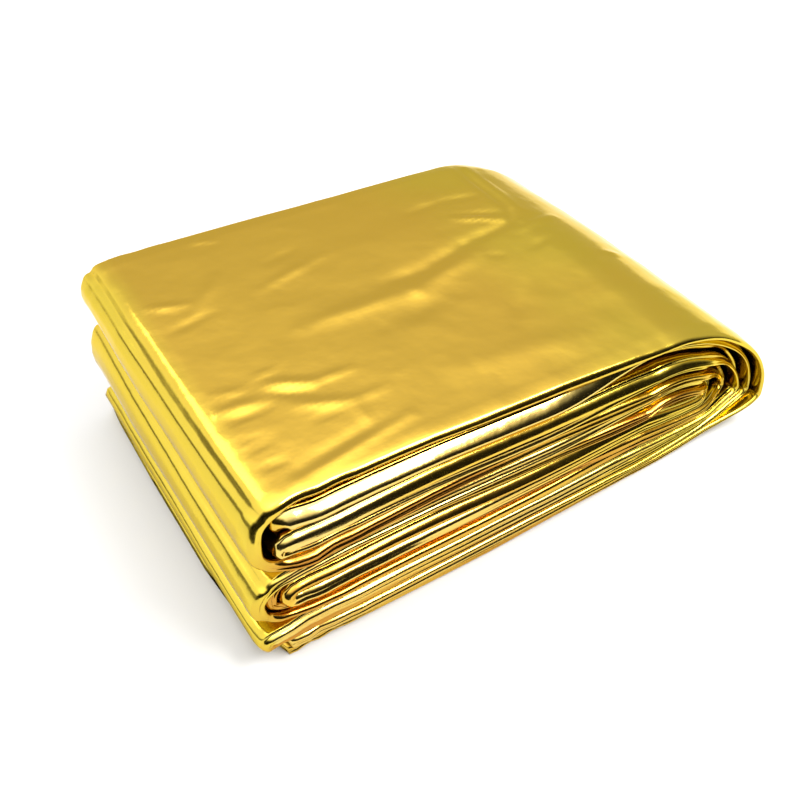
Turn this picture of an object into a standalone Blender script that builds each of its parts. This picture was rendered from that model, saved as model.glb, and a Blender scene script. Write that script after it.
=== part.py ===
"""Emergency foil blanket, folded into a packet.

A metallised film sheet, 1.4 m by 2.1 m, is folded in half four times across its width, which
makes a strip of sixteen plies. The strip is then folded back and forth along its length.
The model is that second folding: one strip that runs through sixteen layers, each a stack of
plies, a little apart. Metres, +Z up, origin on the floor under the middle. The long way is X.
Every layer turns round in the nose at +X, and most of them turn back in three wraps at -X.
"""

import math
from collections import namedtuple

import bmesh
import bpy
from mathutils import Vector
from mathutils.geometry import interpolate_bezier

# Folded packet
PACK_LENGTH = 0.1346
PACK_WIDTH = 0.0872
PACK_HEIGHT = 0.0434
STRIP = 0.0019

# The layer that each length of the strip lies in, from one free end to the other, bottom is 0
LAYER_ORDER = (0, 15, 10, 5, 8, 7, 6, 9, 4, 11, 12, 3, 2, 13, 14, 1)
LAYERS = len(LAYER_ORDER)

# Nose, low and drawn out
NOSE_REACH = 0.0390
NOSE_APEX = 0.19
NOSE_POWER = 1.8
NOSE_STEPS = 60
TIP_PITCH = 0.0026
TIP_OPEN = 0.0026
TIP_FULLNESS = 0.6
TIP_STEPS = 6
THIN_ANGLE = math.radians(11)
THIN_LENGTH = 0.009

# Wraps, and how far the strip's two free ends stop short of them, lowest first
WRAP_STEPS = 4
WRAP_STEPS_MOST = 10
FREE_END_IN = (0.0010, 0.0014)

# The strip between its folds
RUN_STEPS = 6
TOP_FALL = 0.038
EDGE_WAVE = 0.0005
EDGE_WAVES_ALONG = 3.0
EDGE_WAVE_SHIFT = 0.19

FILM_COLOUR = (0.83, 0.60, 0.16, 1.0)

# How far each layer's long edges stop short of the packet's width, bottom layer first
Layer = namedtuple("Layer", "near_in far_in")
LAYER_ROWS = (
    Layer(0.0018, 0.0006),
    Layer(0.0009, 0.0011),
    Layer(0.0004, 0.0006),
    Layer(0.0010, 0.0015),
    Layer(0.0006, 0.0003),
    Layer(0.0014, 0.0009),
    Layer(0.0003, 0.0012),
    Layer(0.0012, 0.0004),
    Layer(0.0005, 0.0010),
    Layer(0.0013, 0.0002),
    Layer(0.0007, 0.0014),
    Layer(0.0016, 0.0008),
    Layer(0.0004, 0.0003),
    Layer(0.0010, 0.0011),
    Layer(0.0001, 0.0006),
    Layer(0.0014, 0.0016),
)

# Groups of layers that turn round together at -X: their lowest and highest layer, and how far
# the wrap stops short of the packet's end
Wrap = namedtuple("Wrap", "low high set_in")
WRAP_ROWS = (
    Wrap(2, 3, 0.0002),
    Wrap(4, 9, 0.0),
    Wrap(10, 15, 0.0007),
)

# Heights of the bottom layer, of the two places where one wrap meets the next, and of the top
# layer: in an even stack, then at the packet's end at -X, where the wraps lean on each other and
# share the height differently on the near and the far side
Level = namedtuple("Level", "even near far")
LEVEL_ROWS = (
    Level(0.00095, 0.00095, 0.00095),
    Level(0.0106, 0.0117, 0.0092),
    Level(0.0272, 0.0258, 0.0298),
    Level(0.04245, 0.04245, 0.04245),
)
LEAN_LENGTH = 0.045

# Stations across the packet, near edge first: place as a share of the half width, how far the
# stack is pressed down there as a share of its height, how much further towards the nose, and
# how far the two ends draw in
Slice = namedtuple("Slice", "across press nose_press nose_in wrap_in")
SLICE_ROWS = (
    Slice(-1.00, 0.020, 0.075, 0.0000, 0.0012),
    Slice(-0.90, 0.004, 0.060, 0.0000, 0.0002),
    Slice(-0.55, 0.000, 0.028, 0.0004, 0.0000),
    Slice(-0.10, 0.002, 0.004, 0.0008, 0.0001),
    Slice(0.40, 0.000, 0.000, 0.0006, 0.0000),
    Slice(0.86, 0.008, 0.000, 0.0008, 0.0004),
    Slice(1.00, 0.034, 0.004, 0.0026, 0.0009),
)
NOSE_PRESS_FROM = -0.030

PITCH = (PACK_HEIGHT - STRIP) / (LAYERS - 1)
NOSE_START = PACK_LENGTH / 2 - STRIP / 2 - NOSE_REACH

# A point of the section: its place, the layers that the strip is passing between, and how far
Point = namedtuple("Point", "place start end share")


def layer_height(layer):
    """Height of a layer's middle above the floor."""
    return STRIP / 2 + layer * PITCH


def nose_side(layers_in, height):
    """Half of the nose, from the stack to the tip, some layers in from the outermost one."""
    side = []
    for step in range(NOSE_STEPS + 1):
        angle = 0.5 * math.pi * step / NOSE_STEPS
        x = NOSE_REACH * math.sin(angle) ** (2 / NOSE_POWER)
        z = height * math.cos(angle) ** (2 / NOSE_POWER)
        slope_x = x ** (NOSE_POWER - 1) / NOSE_REACH ** NOSE_POWER
        slope_z = abs(z) ** (NOSE_POWER - 1) / abs(height) ** NOSE_POWER
        normal = Vector((slope_x, math.copysign(slope_z, height))).normalized()
        pitch = PITCH + (TIP_PITCH - PITCH) * x / NOSE_REACH
        side.append(Vector((x, z)) - normal * layers_in * pitch)
    return side


def open_part(side, other):
    """The points of one side that still have room for the strip to turn round beyond them."""
    kept = []
    for place in side:
        if min((place - across).length for across in other) < TIP_OPEN:
            break
        kept.append(place)
    return kept


def thinned(places):
    """The same line with few points on its straighter stretches."""
    kept = [places[0]]
    heading = places[1] - places[0]
    for place, after in zip(places[1:], places[2:]):
        if heading.angle(after - place) > THIN_ANGLE or (place - kept[-1]).length > THIN_LENGTH:
            kept.append(place)
            heading = after - place
    return kept + [places[-1]]


def tip(below, above):
    """Points of the tight turn that joins the open ends of the nose's two sides."""
    gap = (above[-1] - below[-1]).length
    ahead_below = below[-1] + (below[-1] - below[-2]).normalized() * gap * TIP_FULLNESS
    ahead_above = above[-1] + (above[-1] - above[-2]).normalized() * gap * TIP_FULLNESS
    corners = (below[-1], ahead_below, ahead_above, above[-1])
    return interpolate_bezier(*corners, TIP_STEPS + 1)[1:-1]


def nose_turn(low, high):
    """Middle line round the nose from one layer to another, inside the layers around it."""
    full = (LAYERS - 1) * PITCH
    below_whole = nose_side(low, -NOSE_APEX * full)
    above_whole = nose_side(low, (1 - NOSE_APEX) * full)
    below = open_part(below_whole, above_whole)
    above = open_part(above_whole, below_whole)
    corner = Vector((NOSE_START, layer_height(0) + NOSE_APEX * full))
    places = thinned(below) + tip(below, above) + thinned(above)[::-1]
    return turn_points([corner + place for place in places], low, high)


def turn_points(places, low, high):
    """Section points for a turn of the strip from layer low to layer high."""
    last = len(places) - 1
    return [Point(place, low, high, step / last) for step, place in enumerate(places)]


def wrap_turn(low, high):
    """Middle line round a wrap from one layer to another."""
    wrap = next(row for row in WRAP_ROWS if row.low <= low <= row.high)
    outer = PITCH * (wrap.high - wrap.low) / 2 + STRIP / 2
    centre = Vector((
        -PACK_LENGTH / 2 + wrap.set_in + outer,
        (layer_height(low) + layer_height(high)) / 2,
    ))
    radius = (high - low) * PITCH / 2
    share = (high - low) / (LAYERS / 2 - 1)
    steps = WRAP_STEPS + round((WRAP_STEPS_MOST - WRAP_STEPS) * share)
    places = []
    for step in range(steps + 1):
        angle = math.pi * step / steps
        places.append(centre - radius * Vector((math.sin(angle), math.cos(angle))))
    return turn_points(places, low, high)


def run(start, end):
    """Points along a layer, between the last point of one turn and the first of the next."""
    layer = start.end if start.share > 0.5 else start.start
    return [
        Point(start.place.lerp(end.place, step / RUN_STEPS), layer, layer, 0.0)
        for step in range(1, RUN_STEPS)
    ]


def strip_section():
    """The strip's middle line through every layer, from one free end to the other."""
    stretches = []
    for number, (here, there) in enumerate(zip(LAYER_ORDER, LAYER_ORDER[1:])):
        turn = wrap_turn if number % 2 else nose_turn
        points = turn(min(here, there), max(here, there))
        stretches.append(points if here < there else points[::-1])
    ends = []
    for layer, drawn_in in zip((LAYER_ORDER[0], LAYER_ORDER[-1]), FREE_END_IN):
        end = Vector((-PACK_LENGTH / 2 + drawn_in, layer_height(layer)))
        ends.append([Point(end, layer, layer, 0.0)])
    stretches = [ends[0]] + stretches + [ends[1]]
    points = list(ends[0])
    for before, after in zip(stretches, stretches[1:]):
        points += run(before[-1], after[0]) + after
    return points


def edge_inset(point, across):
    """How far the long edge on one side stops short of the packet's width at a point."""
    column = "near_in" if across < 0 else "far_in"
    start = getattr(LAYER_ROWS[point.start], column)
    end = getattr(LAYER_ROWS[point.end], column)
    layer = point.start + (point.end - point.start) * point.share
    turns = EDGE_WAVES_ALONG * point.place.x / PACK_LENGTH + EDGE_WAVE_SHIFT * layer
    wave = EDGE_WAVE * (1 + math.sin(2 * math.pi * turns)) / 2
    return start + (end - start) * point.share + wave


def leaned(x, z, across):
    """Height of a point once the wraps lean on each other."""
    far = (across + 1) / 2
    lean = max(0.0, 1 - (x + PACK_LENGTH / 2) / LEAN_LENGTH)
    for low, high in zip(LEVEL_ROWS, LEVEL_ROWS[1:]):
        if z <= high.even:
            share = (z - low.even) / (high.even - low.even)
            bottom = low.near + (low.far - low.near) * far
            top = high.near + (high.far - high.near) * far
            return z + (bottom + (top - bottom) * share - z) * lean
    return z


def placed(point, cut):
    """A point of the section, put in its place in one slice of the packet."""
    x, z = point.place[0], leaned(*point.place, cut.across)
    y = cut.across * (PACK_WIDTH / 2 - edge_inset(point, cut.across))
    along = (x + PACK_LENGTH / 2) / (NOSE_START + PACK_LENGTH / 2)
    fall = TOP_FALL * min(max(along, 0.0), 1.0)
    nose_press = (x - NOSE_PRESS_FROM) / (NOSE_START - NOSE_PRESS_FROM)
    press = cut.press + cut.nose_press * min(max(nose_press, 0.0), 1.0)
    height = STRIP / 2 + (z - STRIP / 2) * (1 - fall) * (1 - press)
    nose = max(0.0, (x - NOSE_START) / NOSE_REACH)
    wrap = max(0.0, -2 * x / PACK_LENGTH)
    return (x - cut.nose_in * nose + cut.wrap_in * wrap, y, height)


def gold_film():
    """Gold metallised film."""
    material = bpy.data.materials.new("gold_film")
    material.use_nodes = True
    shader = material.node_tree.nodes["Principled BSDF"]
    shader.inputs["Base Color"].default_value = FILM_COLOUR
    shader.inputs["Metallic"].default_value = 1.0
    shader.inputs["Roughness"].default_value = 0.16
    return material


def folded_blanket():
    """The whole blanket: the section drawn across the packet, then given its thickness."""
    section = strip_section()
    mesh = bpy.data.meshes.new("foil_blanket")
    bm = bmesh.new()
    station = bm.verts.layers.int.new("station")
    row = []
    for number, point in enumerate(section):
        vert = bm.verts.new(placed(point, SLICE_ROWS[0]))
        vert[station] = number
        row.append(vert)
    edges = [bm.edges.new(pair) for pair in zip(row, row[1:])]
    for cut in SLICE_ROWS[1:]:
        drawn = bmesh.ops.extrude_edge_only(bm, edges=edges)["geom"]
        edges = [item for item in drawn if isinstance(item, bmesh.types.BMEdge)]
        for vert in (item for item in drawn if isinstance(item, bmesh.types.BMVert)):
            vert.co = placed(section[vert[station]], cut)
    bmesh.ops.recalc_face_normals(bm, faces=bm.faces)
    bm.to_mesh(mesh)
    bm.free()
    blanket = bpy.data.objects.new("foil_blanket", mesh)
    bpy.context.scene.collection.objects.link(blanket)
    thickness = blanket.modifiers.new("plies", "SOLIDIFY")
    thickness.thickness = STRIP
    thickness.offset = 0.0
    thickness.use_even_offset = True
    mesh.materials.append(gold_film())
    return blanket


def main():
    """Clears the scene and models the blanket."""
    for old in list(bpy.data.objects):
        bpy.data.objects.remove(old)
    folded_blanket()


main()
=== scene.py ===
"""Emergency foil blanket, folded into a packet: its gold film, folds and creases, in a studio.

The strip of plies is laid along the same folds as the solid. Metres, +Z up.
"""

import math
from collections import namedtuple

import bmesh
import bpy
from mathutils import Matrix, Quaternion, Vector, noise
from mathutils.geometry import interpolate_bezier


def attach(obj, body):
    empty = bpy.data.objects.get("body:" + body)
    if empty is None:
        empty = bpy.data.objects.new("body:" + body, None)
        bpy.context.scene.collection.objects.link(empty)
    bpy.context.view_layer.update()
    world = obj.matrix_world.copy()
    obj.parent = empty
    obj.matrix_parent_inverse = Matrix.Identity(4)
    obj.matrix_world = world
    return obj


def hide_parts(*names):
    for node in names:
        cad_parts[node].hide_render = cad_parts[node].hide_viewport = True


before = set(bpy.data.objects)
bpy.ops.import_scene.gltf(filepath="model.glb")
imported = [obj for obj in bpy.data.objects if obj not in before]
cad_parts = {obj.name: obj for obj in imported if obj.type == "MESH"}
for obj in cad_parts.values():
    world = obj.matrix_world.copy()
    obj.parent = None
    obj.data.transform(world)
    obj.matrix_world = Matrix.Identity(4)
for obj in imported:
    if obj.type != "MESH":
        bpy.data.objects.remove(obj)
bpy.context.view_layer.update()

bl_info = {
    "name": "Folded foil blanket",
    "version": (1, 0, 0),
    "blender": (4, 5, 0),
    "location": "3D View > Sidebar > Foil",
    "description": "Lays a gold foil blanket along its folds and lights it",
    "category": "Object",
}

NODE = "foil_blanket"

# Along a length or a share: where something starts, and where it is full
Span = namedtuple("Span", "start full")

# The folded packet, as in the solid, and the thickness of the solid's strip
PACK_LENGTH = 0.1346
PACK_WIDTH = 0.0872
PACK_HEIGHT = 0.0434
SOLID_STRIP = 0.0019

# The layer that each length of the strip lies in, from one free end to the other, bottom is 0
LAYER_ORDER = (0, 15, 10, 5, 8, 7, 6, 9, 4, 11, 12, 3, 2, 13, 14, 1)
LAYERS = len(LAYER_ORDER)
TOP_LAYER = LAYERS - 1
PITCH = (PACK_HEIGHT - SOLID_STRIP) / (LAYERS - 1)

# Nose, low and drawn out, with its turns closer together than in the solid
NOSE_REACH = 0.0390
NOSE_START = PACK_LENGTH / 2 - SOLID_STRIP / 2 - NOSE_REACH
NOSE_APEX = 0.19
NOSE_POWER = 1.8
NOSE_STEPS = 90
TIP_PITCH = 0.0017
TIP_OPEN = 0.0020
TIP_FULLNESS = 0.6
TIP_STEPS = 8

# Wraps, how far the strip's two free ends stop short of them, lowest first, and what share of
# its height the stack loses towards the nose
WRAP_STEPS = 24
FREE_END_IN = (0.0010, 0.0014)
TOP_FALL = 0.038

# How far the wraps draw apart at their near ends, where along and across the packet, how fast
# that fades with height, and how much of it is lost at the very corner
WRAPS_PART = 0.0016
WRAPS_PART_ALONG = Span(-0.0535, -0.0635)
WRAPS_PART_ACROSS = Span(0.004, -0.022)
WRAPS_PART_HEIGHT = 0.0035
WRAPS_PART_LOST = 0.5
WRAPS_PART_CORNER = Span(-0.037, -0.043)

# Groups of layers that turn round together at -X: their lowest and highest layer, and how far
# the wrap stops short of the packet's end
Wrap = namedtuple("Wrap", "low high set_in")
WRAP_ROWS = (
    Wrap(2, 3, 0.0002),
    Wrap(4, 9, 0.0),
    Wrap(10, 15, 0.0007),
)

# Heights of the bottom layer, of the two places where one wrap meets the next, and of the top
# layer: in an even stack, then at the packet's end at -X, where the wraps lean on each other and
# share the height differently on the near and the far side
Level = namedtuple("Level", "even near far")
LEVEL_ROWS = (
    Level(0.00095, 0.00095, 0.00095),
    Level(0.0106, 0.0117, 0.0092),
    Level(0.0272, 0.0258, 0.0298),
    Level(0.04245, 0.04245, 0.04245),
)
LEAN_LENGTH = 0.045

# Stations across the packet, near edge first: place as a share of the half width, how far the
# stack is pressed down there as a share of its height, how much further towards the nose, and
# how far the two ends draw in
Slice = namedtuple("Slice", "across press nose_press nose_in wrap_in")
SLICE_ROWS = (
    Slice(-1.00, 0.013, 0.075, 0.0000, 0.0012),
    Slice(-0.90, 0.003, 0.060, 0.0000, 0.0002),
    Slice(-0.55, 0.000, 0.028, 0.0004, 0.0000),
    Slice(-0.10, 0.002, 0.004, 0.0008, 0.0001),
    Slice(0.40, 0.000, 0.000, 0.0006, 0.0000),
    Slice(0.86, 0.008, 0.000, 0.0008, 0.0004),
    Slice(1.00, 0.034, 0.004, 0.0026, 0.0009),
)
NOSE_PRESS_FROM = -0.030

# Each layer's long edges, bottom layer first. How far the near edge stops short at the wraps, in
# the middle and at the nose, and the far edge; how far the near edge leans back from its lower
# side; how deeply it parts in two; its thickness there; and how strongly its near edge is
# painted amber as painted shade, standing for the dark gold-on-gold reflections between the
# layers, or tinted silver below 0
Layer = namedtuple("Layer", "near_wrap near_middle near_nose far_in lean split swell tone")
LAYER_ROWS = (
    Layer(0.0018, 0.0016, 0.0016, 0.0006, 0.0000, 0.45, 1.05, 0.6),
    Layer(0.0010, 0.0008, 0.0010, 0.0011, 0.0002, 0.55, 1.08, -0.15),
    Layer(0.0013, 0.0011, 0.0006, 0.0006, 0.0000, 0.50, 1.05, 0.8),
    Layer(0.0003, 0.0005, 0.0009, 0.0015, 0.0004, 0.35, 1.08, -0.2),
    Layer(0.0008, 0.0007, 0.0014, 0.0003, -0.0002, 0.00, 1.15, 0.7),
    Layer(0.0018, 0.0016, 0.0006, 0.0009, 0.0003, 0.30, 0.95, 0.9),
    Layer(0.0003, 0.0005, 0.0012, 0.0012, 0.0005, 0.30, 1.12, -0.2),
    Layer(0.0007, 0.0004, 0.0007, 0.0004, 0.0004, 0.00, 1.08, 0.5),
    Layer(0.0022, 0.0013, 0.0004, 0.0010, 0.0002, 0.55, 1.00, 0.9),
    Layer(0.0009, 0.0006, 0.0016, 0.0002, 0.0004, 0.60, 1.10, -0.2),
    Layer(0.0006, 0.0011, 0.0008, 0.0014, 0.0003, 0.55, 1.08, 0.8),
    Layer(0.0011, 0.0004, 0.0017, 0.0008, 0.0005, 0.50, 1.10, -0.15),
    Layer(0.0003, 0.0006, 0.0010, 0.0003, 0.0007, 0.00, 1.10, -0.3),
    Layer(0.0024, 0.0044, 0.0044, 0.0011, 0.0000, 0.00, 0.90, 1.0),
    Layer(0.0003, 0.0003, 0.0034, 0.0006, 0.0012, 0.00, 1.08, -0.35),
    Layer(0.0014, 0.0013, 0.0009, 0.0016, 0.0000, 0.00, 0.95, 0.1),
)
NEAR_STATIONS = (-0.048, -0.004, 0.026)

# How far up its thickness an edge leans about, and how much silver is left at the nose
LEAN_ABOUT = 0.2
SILVER_LEFT = 0.4
SILVER_FADES = Span(0.0, 0.030)

# How much further the near edge of each nose turn stops short, outermost turn first, and where
# along the nose and along the turn
NOSE_TURN_IN = (0.0, 0.0026, 0.0056, 0.0030, 0.0060, 0.0040, 0.0066, 0.0066)
NOSE_TURN_ALONG = Span(0.042, 0.056)
NOSE_TURN_SHARES = Span(0.20, 0.45)

# The small turns in the top wrap are pushed out into it, most on the near side
INNER_LAYERS = {11, 12, 13, 14}
INNER_OUT = 0.0011
INNER_ALONG = Span(-0.045, -0.0587)

# The near corner of the free ends is drawn in
BOTTOM_LAYERS = {0, 1}
CORNER_IN = 0.0050
CORNER_ALONG = Span(-0.040, -0.066)
CORNER_ACROSS = Span(-0.024, -0.042)

# Soft ridges and troughs on the cover: the line they follow, their width and their rise
Crease = namedtuple("Crease", "from_x from_y to_x to_y width rise")
CREASE_ROWS = (
    Crease(-0.0415, 0.0375, -0.0360, 0.0354, 0.0006, 0.00031),
    Crease(-0.0585, 0.0182, -0.0510, 0.0156, 0.0007, 0.00042),
    Crease(-0.0570, 0.0165, -0.0530, 0.0148, 0.0005, 0.00022),
    Crease(-0.0575, 0.0085, -0.0480, 0.0105, 0.0010, -0.00025),
    Crease(-0.0520, 0.0100, -0.0420, 0.0220, 0.0016, 0.00025),
    Crease(-0.0360, 0.0130, -0.0190, 0.0175, 0.0012, 0.00025),
    Crease(-0.0300, 0.0215, -0.0220, 0.0235, 0.0010, -0.00017),
    Crease(-0.0575, -0.0130, -0.0530, -0.0138, 0.0005, 0.00034),
    Crease(-0.0590, -0.0175, -0.0515, -0.0184, 0.0009, 0.00042),
    Crease(-0.0590, -0.0205, -0.0505, -0.0206, 0.0005, -0.00031),
    Crease(-0.0500, -0.0122, -0.0440, -0.0114, 0.0005, 0.00020),
    Crease(-0.0480, -0.0150, -0.0410, -0.0186, 0.0009, 0.00050),
    Crease(-0.0415, -0.0186, -0.0330, -0.0190, 0.0009, 0.00034),
    Crease(-0.0490, -0.0172, -0.0420, -0.0214, 0.0007, -0.00036),
    Crease(-0.0460, -0.0230, -0.0370, -0.0268, 0.0010, 0.00036),
    Crease(-0.0370, -0.0268, -0.0300, -0.0268, 0.0010, 0.00022),
    Crease(-0.0460, -0.0276, -0.0390, -0.0284, 0.0005, -0.00020),
    Crease(-0.0590, -0.0260, -0.0540, -0.0265, 0.0005, -0.00025),
    Crease(-0.0590, -0.0288, -0.0530, -0.0281, 0.0006, -0.00022),
    Crease(-0.0590, -0.0335, -0.0540, -0.0341, 0.0007, -0.00025),
    Crease(-0.0535, -0.0366, -0.0375, -0.0340, 0.0012, -0.00022),
    Crease(-0.0372, -0.0290, -0.0372, -0.0342, 0.0009, 0.00020),
    Crease(-0.0550, -0.0395, -0.0300, -0.0352, 0.0011, 0.00031),
    Crease(-0.0120, 0.0020, -0.0020, 0.0022, 0.0021, -0.00042),
    Crease(-0.0020, 0.0022, 0.0110, 0.0060, 0.0018, -0.00056),
    Crease(0.0110, 0.0060, 0.0270, 0.0085, 0.0014, -0.00056),
    Crease(0.0270, 0.0085, 0.0300, 0.0130, 0.0011, -0.00048),
    Crease(0.0300, 0.0130, 0.0325, 0.0380, 0.0010, -0.00048),
    Crease(0.0330, 0.0130, 0.0350, 0.0380, 0.0011, 0.00031),
    Crease(-0.0350, -0.0030, -0.0080, -0.0036, 0.0023, 0.00042),
    Crease(-0.0080, -0.0036, 0.0120, 0.0015, 0.0021, 0.00042),
    Crease(0.0155, 0.0160, 0.0262, 0.0102, 0.0009, 0.00048),
    Crease(0.0170, 0.0178, 0.0280, 0.0128, 0.0008, -0.00028),
    Crease(0.0080, 0.0236, 0.0180, 0.0246, 0.0011, -0.00028),
    Crease(0.0180, 0.0246, 0.0275, 0.0226, 0.0010, -0.00034),
    Crease(0.0125, 0.0002, 0.0165, -0.0020, 0.0005, -0.00022),
    Crease(0.0240, -0.0030, 0.0310, -0.0008, 0.0009, -0.00028),
    Crease(0.0260, 0.0040, 0.0400, 0.0084, 0.0009, 0.00036),
    Crease(0.0280, 0.0078, 0.0310, 0.0070, 0.0006, 0.00028),
    Crease(0.0030, -0.0230, 0.0135, -0.0128, 0.0018, -0.00025),
    Crease(0.0400, -0.0098, 0.0450, -0.0100, 0.0008, 0.00034),
    Crease(0.0330, -0.0150, 0.0360, -0.0130, 0.0008, 0.00022),
    Crease(-0.0200, -0.0110, -0.0020, -0.0080, 0.0028, -0.00031),
    Crease(-0.0150, -0.0290, 0.0200, -0.0330, 0.0035, 0.00036),
)

# Creases fade out this far from their line, in widths and in metres along the packet, and keep
# this share of their rise at their ends, which are blunt for a share of their length
CREASE_WIDTHS = 3
CREASE_REACH = 0.010
CREASE_END = 0.35
CREASE_BLUNT = 0.06

# Ridges and grooves along the two big wraps: how far up the turn, their width and their rise
Ridge = namedtuple("Ridge", "up width rise")
RIDGE_ROWS = (
    Ridge(0.865, 0.050, 0.00030),
    Ridge(0.780, 0.026, -0.00034),
    Ridge(0.715, 0.034, 0.00026),
    Ridge(0.560, 0.030, -0.00014),
    Ridge(0.400, 0.040, 0.00020),
    Ridge(0.300, 0.030, -0.00016),
)
BIG_WRAPS = ((4, 9), (10, 15))

# The strip's own make: its thickness, how deep its rounded edges are, and where their points
# stand, as shares of half the thickness
STRIP = 0.0020
EDGE_DEPTH = 0.0013
EDGE_SHARES = (0.97, 0.85, 0.65, 0.40, 0.18, 0.0, -0.18, -0.40, -0.65, -0.85, -0.97)

# How thick it is at its edges for its thickness, and for how far in; how thick instead in the
# nose, and over what length that comes; and how deeply its far edge parts in two
EDGE_SWELL = 1.22
EDGE_SWELL_LENGTH = 0.0035
NOSE_SWELL = 0.92
NOSE_TIGHT = 0.010
FAR_SPLIT = 0.4

# Where its points stand across it, inward from each edge, how far apart they are along it, and
# how far above the floor they stay
NEAR_COLUMNS = (0.0, 0.0008, 0.0018, 0.0034, 0.0060, 0.0110)
FAR_COLUMNS = (0.0110, 0.0050, 0.0018, 0.0)
MIDDLE_COLUMNS = 4
RUN_SPACING = 0.0018
TURN_SPACING = 0.0011
COVER_SPACING = 0.0010
WRAP_SPACING = 0.0006
FLOOR_GAP = 0.0001

# How far the edges crumple: all along, and how much more at the wraps and at the nose
CRUMPLE = 0.00003
CRUMPLE_WRAPS = 0.00075
CRUMPLE_WRAPS_ALONG = Span(-0.040, -0.062)
CRUMPLE_NOSE = 0.00006
CRUMPLE_NOSE_ALONG = Span(0.030, 0.050)

# What wavers: the noise it follows, how long its swings are each way, its level and how far it
# swings. Edges waver in how deeply they part, in place, in fullness and in their painted amber
# shade and silver tint. The whole sheet sways, and the cover and the wraps have streaks, folds,
# grain and ridges
Waver = namedtuple("Waver", "seed lengths level swing")
SPLIT = Waver(3, (0.060,), 0.80, 1.0)
EDGE_WAVE = Waver(4, (0.040,), 0.0, 0.0005)
EDGE_CRUMPLE = Waver(5, (0.0045,), 0.0, 1.0)
EDGE_FULLNESS = Waver(6, (0.050, 1.0), 1.0, 0.25)
# How strongly the near edges carry their painted amber shade and silver tint, along the strip
SHADE_AND_SILVER = Waver(7, (0.045,), 0.55, 1.3)
SWAY = Waver(20, (0.034, 0.028, 0.020), 0.0, 0.00022)
FINE_STREAKS = Waver(21, (0.0026, 0.040), 0.0, 0.00014)
BROAD_STREAKS = Waver(22, (0.0050, 0.012), 0.0, 0.00010)
FOLDS = Waver(23, (0.016, 0.011), 0.0, 1.0)
GRAIN = Waver(24, (0.009, 0.007, 0.009), 0.0, 0.000035)
RIDGE_SWAY = Waver(30, (0.035,), 0.0, 0.03)
RIDGE_STRENGTH = Waver(40, (0.020,), 0.75, 0.5)

# Streaks on the turns: where they are full, inward from the packet's sides, and how much of them
# the nose has. Fine folds on the cover: their slant, their rise and the level they rise from
STREAKS_IN = Span(0.0005, 0.0065)
NOSE_STREAKS = 0.5
FOLD_SLANT = 0.32
FOLD_RISE = 0.00016
FOLD_LEVEL = 0.4

# The film's sheen at grazing angles, and the floor's grey
SHEEN = (0.92, 0.80, 0.46)
FLOOR_GREY = (0.57, 0.57, 0.57)

# Where the floor ends in front
FLOOR_FRONT = -0.150

# The room's light: its level, what comes from overhead and from the left, and how dark it is low
# down in front and low down on the left
ROOM_GLOW = 0.76
OVERHEAD_GLOW = 3.8
LEFT_GLOW = 0.75
FRONT_DARK = 0.98
LEFT_DARK = 0.80

# Softboxes: the direction they stand in from the packet, distance, size and brightness
Box = namedtuple("Box", "name aim distance width height glow")
BOX_ROWS = (
    Box("front_box", (0.40, -0.45, 0.80), 0.70, 0.42, 0.20, 21.0),
    Box("left_box", (-0.25, 0.62, 0.73), 0.80, 0.30, 0.24, 2.6),
)

# The camera's place, and its yaw, pitch and roll in degrees
VIEW_PLACE = (-0.09544, -0.13012, 0.15004)
VIEW_ANGLES = (33.546, 42.069, 1.024)

# The camera's sensor in millimetres, and its focal length and the render's width in pixels
SENSOR = 36.0
FOCAL_PIXELS = 890
RENDER_PIXELS = 800

Station = namedtuple("Station", "place start end share distance")
Point = namedtuple("Point", "place start end share")


# ---------------------------------------------------------------- the strip's middle line


def layer_height(layer):
    """Height of a layer's middle above the floor."""
    return SOLID_STRIP / 2 + layer * PITCH


def nose_side(layers_in, height):
    """Half of the nose, from the stack to the tip, some layers in from the outermost one."""
    side = []
    for step in range(NOSE_STEPS + 1):
        angle = 0.5 * math.pi * step / NOSE_STEPS
        x = NOSE_REACH * math.sin(angle) ** (2 / NOSE_POWER)
        z = height * math.cos(angle) ** (2 / NOSE_POWER)
        slope_x = x ** (NOSE_POWER - 1) / NOSE_REACH ** NOSE_POWER
        slope_z = abs(z) ** (NOSE_POWER - 1) / abs(height) ** NOSE_POWER
        normal = Vector((slope_x, math.copysign(slope_z, height))).normalized()
        pitch = PITCH + (TIP_PITCH - PITCH) * x / NOSE_REACH
        side.append(Vector((x, z)) - normal * layers_in * pitch)
    return side


def open_part(side, other):
    """The points of one side that still have room for the strip to turn round beyond them."""
    kept = []
    for place in side:
        if min((place - across).length for across in other) < TIP_OPEN:
            break
        kept.append(place)
    return kept


def tip(below, above):
    """Points of the tight turn that joins the open ends of the nose's two sides."""
    gap = (above[-1] - below[-1]).length
    ahead_below = below[-1] + (below[-1] - below[-2]).normalized() * gap * TIP_FULLNESS
    ahead_above = above[-1] + (above[-1] - above[-2]).normalized() * gap * TIP_FULLNESS
    corners = (below[-1], ahead_below, ahead_above, above[-1])
    return interpolate_bezier(*corners, TIP_STEPS + 1)[1:-1]


def turn_points(places, low, high):
    """Section points for a turn of the strip from layer low to layer high."""
    last = len(places) - 1
    return [Point(place, low, high, step / last) for step, place in enumerate(places)]


def nose_turn(low, high):
    """Middle line round the nose from one layer to another, inside the layers around it."""
    full = (LAYERS - 1) * PITCH
    below_whole = nose_side(low, -NOSE_APEX * full)
    above_whole = nose_side(low, (1 - NOSE_APEX) * full)
    below = open_part(below_whole, above_whole)
    above = open_part(above_whole, below_whole)
    corner = Vector((NOSE_START, layer_height(0) + NOSE_APEX * full))
    places = below + tip(below, above) + above[::-1]
    return turn_points([corner + place for place in places], low, high)


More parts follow.
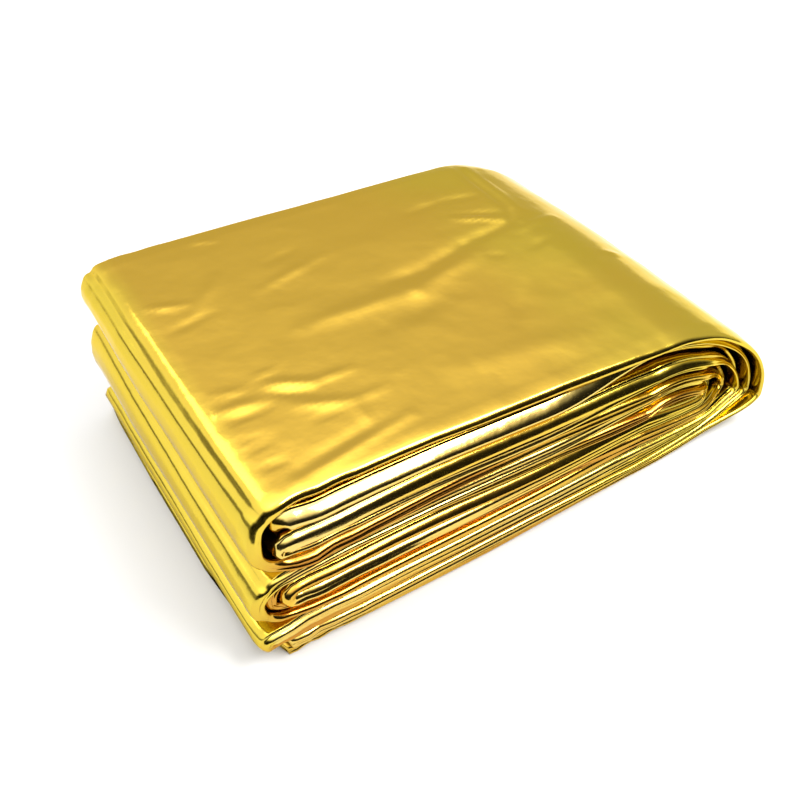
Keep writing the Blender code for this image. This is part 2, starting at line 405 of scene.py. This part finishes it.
def wrap_turn(low, high):
    """Middle line round a wrap from one layer to another."""
    wrap = next(row for row in WRAP_ROWS if row.low <= low <= row.high)
    outer = PITCH * (wrap.high - wrap.low) / 2 + SOLID_STRIP / 2
    centre = Vector((
        -PACK_LENGTH / 2 + wrap.set_in + outer,
        (layer_height(low) + layer_height(high)) / 2,
    ))
    radius = (high - low) * PITCH / 2
    places = []
    for step in range(WRAP_STEPS + 1):
        angle = math.pi * step / WRAP_STEPS
        places.append(centre - radius * Vector((math.sin(angle), math.cos(angle))))
    return turn_points(places, low, high)


def walked(points, spacing):
    """Points evenly spaced along a stretch of the middle line, both ends included."""
    lengths = [(b.place - a.place).length for a, b in zip(points, points[1:])]
    steps = max(2, round(sum(lengths) / spacing))
    due_each = sum(lengths) / steps
    found = [points[0]]
    gone = 0.0
    for a, b, length in zip(points, points[1:], lengths):
        while len(found) < steps and len(found) * due_each <= gone + length:
            part = (len(found) * due_each - gone) / length
            share = a.share + (b.share - a.share) * part
            found.append(Point(a.place.lerp(b.place, part), a.start, a.end, share))
        gone += length
    return found + [points[-1]]


def strip_line():
    """Stations along the whole strip, from one free end to the other."""
    stretches = []
    for number, (here, there) in enumerate(zip(LAYER_ORDER, LAYER_ORDER[1:])):
        turn = wrap_turn if number % 2 else nose_turn
        points = turn(min(here, there), max(here, there))
        stretches.append(points if here < there else points[::-1])
    ends = []
    for layer, drawn_in in zip((LAYER_ORDER[0], LAYER_ORDER[-1]), FREE_END_IN):
        end = Vector((-PACK_LENGTH / 2 + drawn_in, layer_height(layer)))
        ends.append([Point(end, layer, layer, 0.0)])
    stretches = [ends[0]] + stretches + [ends[1]]
    points = list(ends[0])
    for layer, before, after in zip(LAYER_ORDER, stretches, stretches[1:]):
        straight = [Point(end.place, layer, layer, 0.0) for end in (before[-1], after[0])]
        points += walked(straight, COVER_SPACING if layer == TOP_LAYER else RUN_SPACING)[1:]
        if len(after) > 1:
            spacing = COVER_SPACING if after[0].end == TOP_LAYER else TURN_SPACING
            if (after[0].start, after[0].end) in BIG_WRAPS:
                spacing = WRAP_SPACING
            points += walked(after, spacing)[1:]
    distance = 0.0
    stations = []
    for number, point in enumerate(points):
        if number:
            distance += (point.place - points[number - 1].place).length
        stations.append(Station(*point, distance))
    return stations


# ---------------------------------------------------------------- the strip's shape


def smooth(share):
    """Eases 0 to 1."""
    share = min(max(share, 0.0), 1.0)
    return share * share * (3 - 2 * share)


def eased(value, span):
    """0 where the span starts and 1 where it is full, eased between."""
    return smooth((value - span.start) / (span.full - span.start))


def mixed(a, b, share):
    """A value between two others."""
    return a + (b - a) * share


def across_value(across, column):
    """A column of the slice table, eased between its rows."""
    across = min(max(across, -1.0), 1.0)
    for a, b in zip(SLICE_ROWS, SLICE_ROWS[1:]):
        if across <= b.across:
            share = (across - a.across) / (b.across - a.across)
            return mixed(getattr(a, column), getattr(b, column), share)
    return getattr(SLICE_ROWS[-1], column)


def wander(waver, *where, number=0):
    """An uneven value at a place, the same each time. Numbered ones differ from each other."""
    seed = waver.seed + number
    swings = [place / length for place, length in zip(where, waver.lengths)]
    spot = Vector((*swings, 0.0, 0.0)[:3]) + Vector((seed * 7.31, seed * 3.77, seed * 1.93))
    return waver.level + waver.swing * noise.noise(spot)


def near_in(row, x):
    """How far a layer's near edge stops short at x."""
    wrap_x, middle_x, nose_x = NEAR_STATIONS
    if x < middle_x:
        return mixed(row.near_middle, row.near_wrap, eased(x, Span(middle_x, wrap_x)))
    return mixed(row.near_middle, row.near_nose, eased(x, Span(middle_x, nose_x)))


def layer_value(station, column):
    """A column of the layer table at a station, passing from layer to layer on the turns."""
    start, end = LAYER_ROWS[station.start], LAYER_ROWS[station.end]
    if column == "near_in":
        x = station.place.x
        drawn_in = mixed(near_in(start, x), near_in(end, x), station.share)
        if station.start != station.end and x > 0:
            share = eased(x, NOSE_TURN_ALONG) * eased(station.share, NOSE_TURN_SHARES)
            drawn_in = mixed(drawn_in, NOSE_TURN_IN[station.start], share)
        return drawn_in
    return mixed(getattr(start, column), getattr(end, column), station.share)


def crumple(x):
    """How far the edges crumple at x."""
    at_wraps = CRUMPLE_WRAPS * eased(x, CRUMPLE_WRAPS_ALONG)
    at_nose = CRUMPLE_NOSE * eased(x, CRUMPLE_NOSE_ALONG)
    return CRUMPLE + at_wraps + at_nose


def edge_reach(share, split):
    """How far the edge stands out at a share of its half thickness, as a share of its depth."""
    whole = math.sqrt(1 - share * share)
    parted = math.sqrt(max(0.0, 1 - (2 * abs(share) - 1) ** 2))
    return mixed(whole, parted, split)


def columns_across(near_y, far_y):
    """Where the strip's points stand across it, from its near edge to its far one."""
    columns = [near_y + inward for inward in NEAR_COLUMNS]
    gap = (far_y - FAR_COLUMNS[0] - columns[-1]) / MIDDLE_COLUMNS
    columns += [columns[-1] + gap * step for step in range(1, MIDDLE_COLUMNS)]
    return columns + [far_y - inward for inward in FAR_COLUMNS]


def ring(station, normal):
    """The strip's outline at a station, as places across it and along its normal."""
    x, along = station.place.x, station.distance
    split = layer_value(station, "split") * smooth(wander(SPLIT, along))
    lean = layer_value(station, "lean") * normal.y
    half = STRIP / 2
    if station.start != station.end and x > NOSE_START:
        half *= mixed(1.0, TIP_PITCH / PITCH, (x - NOSE_START) / NOSE_REACH)
    at_nose = eased(x, Span(NOSE_START - NOSE_TIGHT, NOSE_START))
    edge_half = half * mixed(EDGE_SWELL * layer_value(station, "swell"), NOSE_SWELL, at_nose)
    wave = wander(EDGE_WAVE, along) + crumple(x) * wander(EDGE_CRUMPLE, along)
    near_y = -PACK_WIDTH / 2 + EDGE_DEPTH + layer_value(station, "near_in") + wave
    far_y = PACK_WIDTH / 2 - EDGE_DEPTH - layer_value(station, "far_in") + wave
    faces = []
    for y in columns_across(near_y, far_y):
        closeness = 1 - smooth(min(y - near_y, far_y - y) / EDGE_SWELL_LENGTH)
        faces.append((y, mixed(half, edge_half, closeness)))
    points = list(faces)
    for share in EDGE_SHARES:
        reach = EDGE_DEPTH * edge_reach(share, FAR_SPLIT)
        points.append((far_y + reach, share * edge_half))
    points += [(y, -out) for y, out in reversed(faces)]
    for share in reversed(EDGE_SHARES):
        depth = EDGE_DEPTH * wander(EDGE_FULLNESS, along, share)
        reach = depth * edge_reach(share, split) - lean * (share - LEAN_ABOUT)
        points.append((near_y - reach, share * edge_half))
    return points


def ring_place(points, number):
    """A place on an outline, also between two of its points."""
    whole = math.floor(number + 1e-6)
    share = number - whole
    a = points[whole % len(points)]
    if share < 1e-6:
        return a
    b = points[(whole + 1) % len(points)]
    return mixed(a[0], b[0], share), mixed(a[1], b[1], share)


def leaned(x, z, across):
    """Height of a point once the wraps lean on each other."""
    far = (across + 1) / 2
    lean = max(0.0, 1 - (x + PACK_LENGTH / 2) / LEAN_LENGTH)
    for low, high in zip(LEVEL_ROWS, LEVEL_ROWS[1:]):
        if z <= high.even:
            share = (z - low.even) / (high.even - low.even)
            bottom = mixed(low.near, low.far, far)
            top = mixed(high.near, high.far, far)
            return z + (mixed(bottom, top, share) - z) * lean
    return z


def parting(x, y, z):
    """How far the wraps draw apart from each other at their near ends."""
    opening = eased(x, WRAPS_PART_ALONG) * eased(y, WRAPS_PART_ACROSS)
    opening *= 1 - WRAPS_PART_LOST * eased(y, WRAPS_PART_CORNER)
    moved = 0.0
    for row in LEVEL_ROWS[1:-1]:
        away = z - row.even
        fading = math.exp(-abs(away) / WRAPS_PART_HEIGHT)
        moved += math.copysign(WRAPS_PART, away) * opening * fading
    return moved


def settled(place, y, ends):
    """Where a place of the section lies in the packet at y, on a strip between two layers."""
    across = min(max(y / (PACK_WIDTH / 2), -1.0), 1.0)
    x = place.x
    z = leaned(x, place.y, across) + parting(x, y, place.y)
    if ends <= BOTTOM_LAYERS:
        x += CORNER_IN * eased(y, CORNER_ACROSS) * eased(x, CORNER_ALONG)
    if ends <= INNER_LAYERS:
        x -= INNER_OUT * eased(x, INNER_ALONG) * (1 - across) / 2
    along = (x + PACK_LENGTH / 2) / (NOSE_START + PACK_LENGTH / 2)
    fall = TOP_FALL * min(max(along, 0.0), 1.0)
    at_nose = (x - NOSE_PRESS_FROM) / (NOSE_START - NOSE_PRESS_FROM)
    press = across_value(across, "press")
    press += across_value(across, "nose_press") * min(max(at_nose, 0.0), 1.0)
    height = SOLID_STRIP / 2 + (z - SOLID_STRIP / 2) * (1 - fall) * (1 - press)
    nose = max(0.0, (x - NOSE_START) / NOSE_REACH)
    wrap = max(0.0, -2 * x / PACK_LENGTH)
    x += across_value(across, "wrap_in") * wrap - across_value(across, "nose_in") * nose
    return Vector((x, y, height))


def crease_height(x, y):
    """Rise of the cover's creases at a place seen from above."""
    total = 0.0
    for row in CREASE_ROWS:
        left, right = sorted((row.from_x, row.to_x))
        if not left - CREASE_REACH <= x <= right + CREASE_REACH:
            continue
        start = Vector((row.from_x, row.from_y))
        line = Vector((row.to_x, row.to_y)) - start
        offset = Vector((x, y)) - start
        share = min(max(offset.dot(line) / line.length_squared, 0.0), 1.0)
        away = (offset - line * share).length
        if away < CREASE_WIDTHS * row.width:
            blunt = min(max(share, CREASE_BLUNT), 1 - CREASE_BLUNT)
            taper = mixed(CREASE_END, 1.0, math.sin(math.pi * blunt))
            total += row.rise * taper * math.exp(-((away / row.width) ** 2))
    return total


def ridge_height(up, y):
    """Rise of the ridges and grooves at a place on a big wrap."""
    total = 0.0
    for number, row in enumerate(RIDGE_ROWS):
        away = up + wander(RIDGE_SWAY, y, number=number) - row.up
        strength = wander(RIDGE_STRENGTH, y, number=number)
        total += row.rise * strength * math.exp(-((away / row.width) ** 2))
    return total


def edge_shade_and_silver(station):
    """How much painted amber shade, standing for the dark reflections between layers, the
    strip's near edge has at a station, or how silver it is below 0.
    """
    tone = layer_value(station, "tone")
    if tone < 0:
        tone *= mixed(1.0, SILVER_LEFT, eased(station.place.x, SILVER_FADES))
    return tone * smooth(wander(SHADE_AND_SILVER, station.distance))


def relief(spot, station, outer, upward):
    """How far a place moves along the strip's outward side for creases and wrinkles."""
    moved = wander(SWAY, *spot)
    if not outer:
        return moved
    x, y = spot.x, spot.y
    turning = smooth(4 * min(station.share, 1 - station.share))
    turning *= eased(PACK_WIDTH / 2 - abs(y), STREAKS_IN)
    streaks = wander(FINE_STREAKS, station.distance, y)
    streaks += wander(BROAD_STREAKS, station.distance, y)
    moved += wander(GRAIN, *spot) + streaks * turning * (1.0 if x < 0 else NOSE_STREAKS)
    if (station.start, station.end) in BIG_WRAPS:
        moved += ridge_height(station.share, y)
    if upward > 0 and TOP_LAYER in (station.start, station.end):
        moved += crease_height(x, y) * smooth(2 * upward)
        moved += FOLD_RISE * (FOLD_LEVEL - abs(wander(FOLDS, x + y * FOLD_SLANT, y)))
    return moved


def strip_normals(stations):
    """Which way the strip's first side faces at each station, in the section."""
    places = [station.place for station in stations]
    normals = []
    for before, after in zip(places[:1] + places, places[1:] + places[-1:]):
        ahead = after - before
        normals.append(Vector((-ahead.y, ahead.x)).normalized())
    return normals


def strip_mesh():
    """The strip as a closed bmesh: a grid, laid round each station's outline in turn."""
    stations = strip_line()
    normals = strip_normals(stations)
    rings = [ring(station, normal) for station, normal in zip(stations, normals)]
    last, around = len(stations) - 1, len(rings[0])
    bm = bmesh.new()
    bmesh.ops.create_grid(bm, x_segments=last, y_segments=around, size=0.5)
    refine_cover(bm, stations, rings)
    uv = bm.loops.layers.uv.new("strip")
    tone = bm.verts.layers.float.new("edge_shade_and_silver")
    near_edge = around - len(EDGE_SHARES)
    spots = {}
    for vert in bm.verts:
        spots[vert] = (round((vert.co.x + 0.5) * last), (vert.co.y + 0.5) * around)
    for vert, (number, place) in spots.items():
        station, normal = stations[number], normals[number]
        y, out = ring_place(rings[number], place)
        ends = (station.start, station.end)
        outer = out < 0 and (TOP_LAYER in ends or ends in BIG_WRAPS)
        # The near edge's points carry its painted amber shade, and below 0 its silver tint
        if near_edge <= place < around:
            vert[tone] = edge_shade_and_silver(station)
        spot = settled(station.place + normal * out, y, set(ends))
        moved = relief(spot, station, outer, -normal.y)
        outward = Vector((-normal.x, 0.0, -normal.y)) if outer else Vector((0.0, 0.0, 1.0))
        vert.co = spot + outward * moved
        vert.co.z = max(vert.co.z, FLOOR_GAP)
    for face in bm.faces:
        for loop in face.loops:
            number, place = spots[loop.vert]
            loop[uv].uv = (stations[number].distance, place / around)
    bmesh.ops.remove_doubles(bm, verts=bm.verts, dist=1e-7)
    open_edges = [edge for edge in bm.edges if edge.is_boundary]
    bmesh.ops.holes_fill(bm, edges=open_edges)
    bmesh.ops.recalc_face_normals(bm, faces=bm.faces)
    return bm


def refine_cover(bm, stations, rings):
    """Cuts the wide faces on the outside of the cover into narrow ones."""
    last, around = len(stations) - 1, len(rings[0])
    most, across = {}, {}
    for edge in bm.edges:
        a, b = edge.verts
        number = round((a.co.x + 0.5) * last)
        along = abs(a.co.x - b.co.x) > 1e-6
        if along or TOP_LAYER not in (stations[number].start, stations[number].end):
            continue
        place = round((min(a.co.y, b.co.y) + 0.5) * around)
        (y_a, out_a), (y_b, out_b) = (ring_place(rings[number], place + n) for n in (0, 1))
        cuts = round(abs(y_b - y_a) / COVER_SPACING) - 1
        if out_a < 0 and out_b < 0 and cuts > 0:
            most[place] = max(most.get(place, 0), cuts)
            across.setdefault(place, []).append(edge)
    for place, edges in across.items():
        bmesh.ops.subdivide_edges(bm, edges=edges, cuts=most[place], use_grid_fill=True)


# ---------------------------------------------------------------- shader nodes

# The Mix node's sockets for colours
MIX_FACTOR, MIX_A, MIX_B, MIX_RESULT = 0, 6, 7, 2


class Socket:
    """A shader socket that takes arithmetic, and adds the Math nodes for it."""

    def __init__(self, tree, socket):
        self.tree = tree
        self.socket = socket

    def _math(self, operation, first, second=None):
        values = {0: first} if second is None else {0: first, 1: second}
        return self.tree.node("ShaderNodeMath", values, operation=operation)

    def __add__(self, other):
        return self._math("ADD", self, other)

    __radd__ = __add__

    def __sub__(self, other):
        return self._math("SUBTRACT", self, other)

    def __rsub__(self, other):
        return self._math("SUBTRACT", other, self)

    def __mul__(self, other):
        return self._math("MULTIPLY", self, other)

    __rmul__ = __mul__

    def __truediv__(self, other):
        return self._math("DIVIDE", self, other)

    def __pow__(self, other):
        return self._math("POWER", self, other)

    def sine(self):
        """The sine of the value."""
        return self._math("SINE", self)

    def ramp(self, low, high):
        """0 below low, 1 above high, and smooth between."""
        return self.tree.node(
            "ShaderNodeMapRange",
            {"Value": self, "From Min": low, "From Max": high},
            interpolation_type="SMOOTHSTEP",
        )


class Tree:
    """A material's or world's node tree, with one way to add any node."""

    def __init__(self, owner):
        owner.use_nodes = True
        self.nodes = owner.node_tree.nodes
        self.links = owner.node_tree.links

    def put(self, target, value):
        """Gives an input a value, or the link of a wrapped socket."""
        if isinstance(value, Socket):
            self.links.new(value.socket, target)
        else:
            target.default_value = value

    def node(self, kind, values=None, output=0, **settings):
        """Adds a node with its settings, then its inputs, and returns one of its outputs."""
        made = self.nodes.new(kind)
        for name, setting in settings.items():
            setattr(made, name, setting)
        for name, value in (values or {}).items():
            self.put(made.inputs[name], value)
        return Socket(self, made.outputs[output])

    def mix(self, factor, a, b):
        """A colour between two others."""
        values = {MIX_FACTOR: factor, MIX_A: a, MIX_B: b}
        return self.node("ShaderNodeMix", values, output=MIX_RESULT, data_type="RGBA")


def rgb(colour):
    """A colour with its alpha."""
    return (*colour, 1.0)


def gold_film(look):
    """The metallised film: a golden mirror with painted amber shade at some edges and a silver
    tint at others, crinkled all over.
    """
    material = bpy.data.materials.new("gold_film")
    tree = Tree(material)
    shader = tree.nodes["Principled BSDF"]
    where = tree.node("ShaderNodeTexCoord", output="Object")
    along = tree.node("ShaderNodeSeparateXYZ", {"Vector": where}, output="X")
    broad = tree.node("ShaderNodeTexNoise", {"Vector": where, "Scale": 30.0, "Detail": 3.0})
    fine = tree.node("ShaderNodeTexNoise", {"Vector": where, "Scale": 420.0, "Detail": 4.0})
    crinkle = (tree.node("ShaderNodeTexNoise", {"Vector": where, "Scale": 70.0}) * 16.0).sine()
    cool_nose = (along * 14.0 + broad * 1.2 - 0.40).ramp(0.0, 1.0)
    cool_wraps = (along * -120.0 + broad - 7.4).ramp(0.0, 1.0)
    film = tree.mix(cool_nose + cool_wraps, rgb(look.tint_warm), rgb(look.tint_cool))
    # Painted shade: near edges are tinted amber where the layers' dark reflections of each other
    # fall, and silver where the value is below 0
    edge = tree.node("ShaderNodeAttribute", attribute_name="edge_shade_and_silver", output="Fac")
    colour = tree.mix(edge, film, rgb(look.amber_painted_shade))
    colour = tree.mix(edge * -1.0, colour, rgb(look.tint_silver))
    tree.put(shader.inputs["Base Color"], colour)
    shader.inputs["Metallic"].default_value = 1.0
    shader.inputs["Specular Tint"].default_value = rgb(SHEEN)
    tree.put(shader.inputs["Roughness"], 0.11 + 0.08 * fine)
    shader.inputs["Coat Weight"].default_value = 0.12
    shader.inputs["Coat Roughness"].default_value = 0.06
    bump = tree.node(
        "ShaderNodeBump",
        {"Strength": 1.0, "Distance": 0.0001, "Height": fine * 0.4 + crinkle * 0.20},
        output="Normal",
    )
    tree.put(shader.inputs["Normal"], bump)
    return material


# ---------------------------------------------------------------- the add-on


class FoilSettings(bpy.types.PropertyGroup):
    """What a user would change on the blanket and its studio."""

    tint_warm: bpy.props.FloatVectorProperty(
        name="Warm gold", description="Film colour over most of the packet",
        subtype="COLOR", size=3, default=(0.70, 0.44, 0.056),
    )
    tint_cool: bpy.props.FloatVectorProperty(
        name="Cool gold", description="Film colour towards the nose and on the wraps",
        subtype="COLOR", size=3, default=(0.64, 0.480, 0.050),
    )
    # Amber painted on the near edges as painted shade, standing for the dark gold-on-gold
    # reflections between the layers
    amber_painted_shade: bpy.props.FloatVectorProperty(
        name="Amber", description="Film colour of the deeper edges on the near side",
        subtype="COLOR", size=3, default=(0.42, 0.155, 0.022),
    )
    tint_silver: bpy.props.FloatVectorProperty(
        name="Silver", description="Colour of the film's other side, where an edge shows it",
        subtype="COLOR", size=3, default=(0.80, 0.71, 0.36),
    )
    floor_size: bpy.props.FloatProperty(
        name="Floor", description="Side of the studio floor", unit="LENGTH", default=1.8,
    )


class OBJECT_OT_foil_sheet(bpy.types.Operator):
    """Lays the foil sheet along its folds"""

    bl_idname = "object.foil_sheet"
    bl_label = "Foil sheet"

    def execute(self, context):
        bm = strip_mesh()
        mesh = bpy.data.meshes.new("foil_sheet")
        bm.to_mesh(mesh)
        bm.free()
        mesh.shade_smooth()
        mesh.materials.append(gold_film(context.scene.foil))
        sheet = bpy.data.objects.new("foil_sheet", mesh)
        context.scene.collection.objects.link(sheet)
        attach(sheet, "root")
        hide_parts(NODE)
        return {"FINISHED"}


def studio_world():
    """Soft light all round: bright overhead, mid behind, dark low down in front."""
    world = bpy.data.worlds.new("studio")
    tree = Tree(world)
    direction = tree.node("ShaderNodeTexCoord", output="Generated")
    x, y, z = (
        tree.node("ShaderNodeSeparateXYZ", {"Vector": direction}, output=name) for name in "XYZ"
    )
    overhead = z ** 6 * z.ramp(-0.01, 0.01)
    level = ROOM_GLOW + OVERHEAD_GLOW * overhead + LEFT_GLOW * (0.0 - x).ramp(-0.30, 0.75)
    front = (0.0 - y).ramp(-0.05, 0.45) * (1.0 - z.ramp(0.45, 0.75))
    left = (0.0 - x).ramp(0.40, 0.70) * (1.0 - z.ramp(0.16, 0.30))
    level = level * (1.0 - FRONT_DARK * front) * (1.0 - LEFT_DARK * left)
    seen = tree.node("ShaderNodeLightPath", output="Is Camera Ray")
    background = tree.nodes["Background"]
    tree.put(background.inputs["Strength"], level * (1.0 - seen) + seen)
    background.inputs["Color"].default_value = (1.0, 1.0, 1.0, 1.0)
    return world


def add_floor(scene):
    """The plain floor that the packet lies on."""
    bm = bmesh.new()
    half = scene.foil.floor_size / 2
    bmesh.ops.create_grid(bm, x_segments=1, y_segments=1, size=half)
    bmesh.ops.translate(bm, verts=bm.verts, vec=(0, half + FLOOR_FRONT, 0))
    mesh = bpy.data.meshes.new("floor")
    bm.to_mesh(mesh)
    bm.free()
    floor = bpy.data.objects.new("floor", mesh)
    scene.collection.objects.link(floor)
    material = bpy.data.materials.new("floor")
    shader = Tree(material).nodes["Principled BSDF"]
    shader.inputs["Base Color"].default_value = rgb(FLOOR_GREY)
    shader.inputs["Roughness"].default_value = 0.7
    mesh.materials.append(material)


def add_softboxes(scene):
    """The lamps, each turned to the packet and hidden from the camera."""
    for row in BOX_ROWS:
        light = bpy.data.lights.new(row.name, "AREA")
        light.shape = "RECTANGLE"
        light.size, light.size_y = row.width, row.height
        light.energy = row.glow * math.pi * row.width * row.height
        lamp = bpy.data.objects.new(row.name, light)
        lamp.location = Vector(row.aim).normalized() * row.distance
        lamp.rotation_euler = Vector(row.aim).to_track_quat("Z", "Y").to_euler()
        lamp.visible_camera = False
        scene.collection.objects.link(lamp)


def add_camera(scene):
    """The camera, turned by its yaw, pitch and roll."""
    camera = bpy.data.cameras.new("camera")
    camera.sensor_width = SENSOR
    camera.lens = SENSOR * FOCAL_PIXELS / RENDER_PIXELS
    camera.clip_start = 0.01
    viewer = bpy.data.objects.new("camera", camera)
    yaw, pitch, roll = (math.radians(angle) for angle in VIEW_ANGLES)
    viewer.location = VIEW_PLACE
    forward = Vector((
        math.sin(yaw) * math.cos(pitch), math.cos(yaw) * math.cos(pitch), -math.sin(pitch),
    ))
    turned = forward.to_track_quat("-Z", "Y") @ Quaternion((0, 0, 1), roll)
    viewer.rotation_euler = turned.to_euler()
    scene.collection.objects.link(viewer)
    scene.camera = viewer


class OBJECT_OT_foil_studio(bpy.types.Operator):
    """Adds the floor, the lights, the world and the camera"""

    bl_idname = "object.foil_studio"
    bl_label = "Studio"

    def execute(self, context):
        scene = context.scene
        add_floor(scene)
        scene.world = studio_world()
        add_softboxes(scene)
        add_camera(scene)
        scene.view_settings.view_transform = "Standard"
        return {"FINISHED"}


class VIEW3D_PT_foil(bpy.types.Panel):
    """Lists the blanket's sizes and steps"""

    bl_label = "Foil blanket"
    bl_idname = "VIEW3D_PT_foil"
    bl_space_type = "VIEW_3D"
    bl_region_type = "UI"
    bl_category = "Foil"

    def draw(self, context):
        for name in FoilSettings.__annotations__:
            self.layout.prop(context.scene.foil, name)
        for operator in OPERATORS:
            self.layout.operator(operator.bl_idname)


OPERATORS = (OBJECT_OT_foil_sheet, OBJECT_OT_foil_studio)
CLASSES = (FoilSettings, *OPERATORS, VIEW3D_PT_foil)


def register():
    """Adds the classes and the scene's settings."""
    for made in CLASSES:
        bpy.utils.register_class(made)
    bpy.types.Scene.foil = bpy.props.PointerProperty(type=FoilSettings)


def unregister():
    """Takes the settings and the classes away."""
    del bpy.types.Scene.foil
    for made in reversed(CLASSES):
        bpy.utils.unregister_class(made)


def main():
    """Makes everything."""
    register()
    bpy.ops.object.foil_sheet()
    bpy.ops.object.foil_studio()


if __name__ == "__main__":
    main()
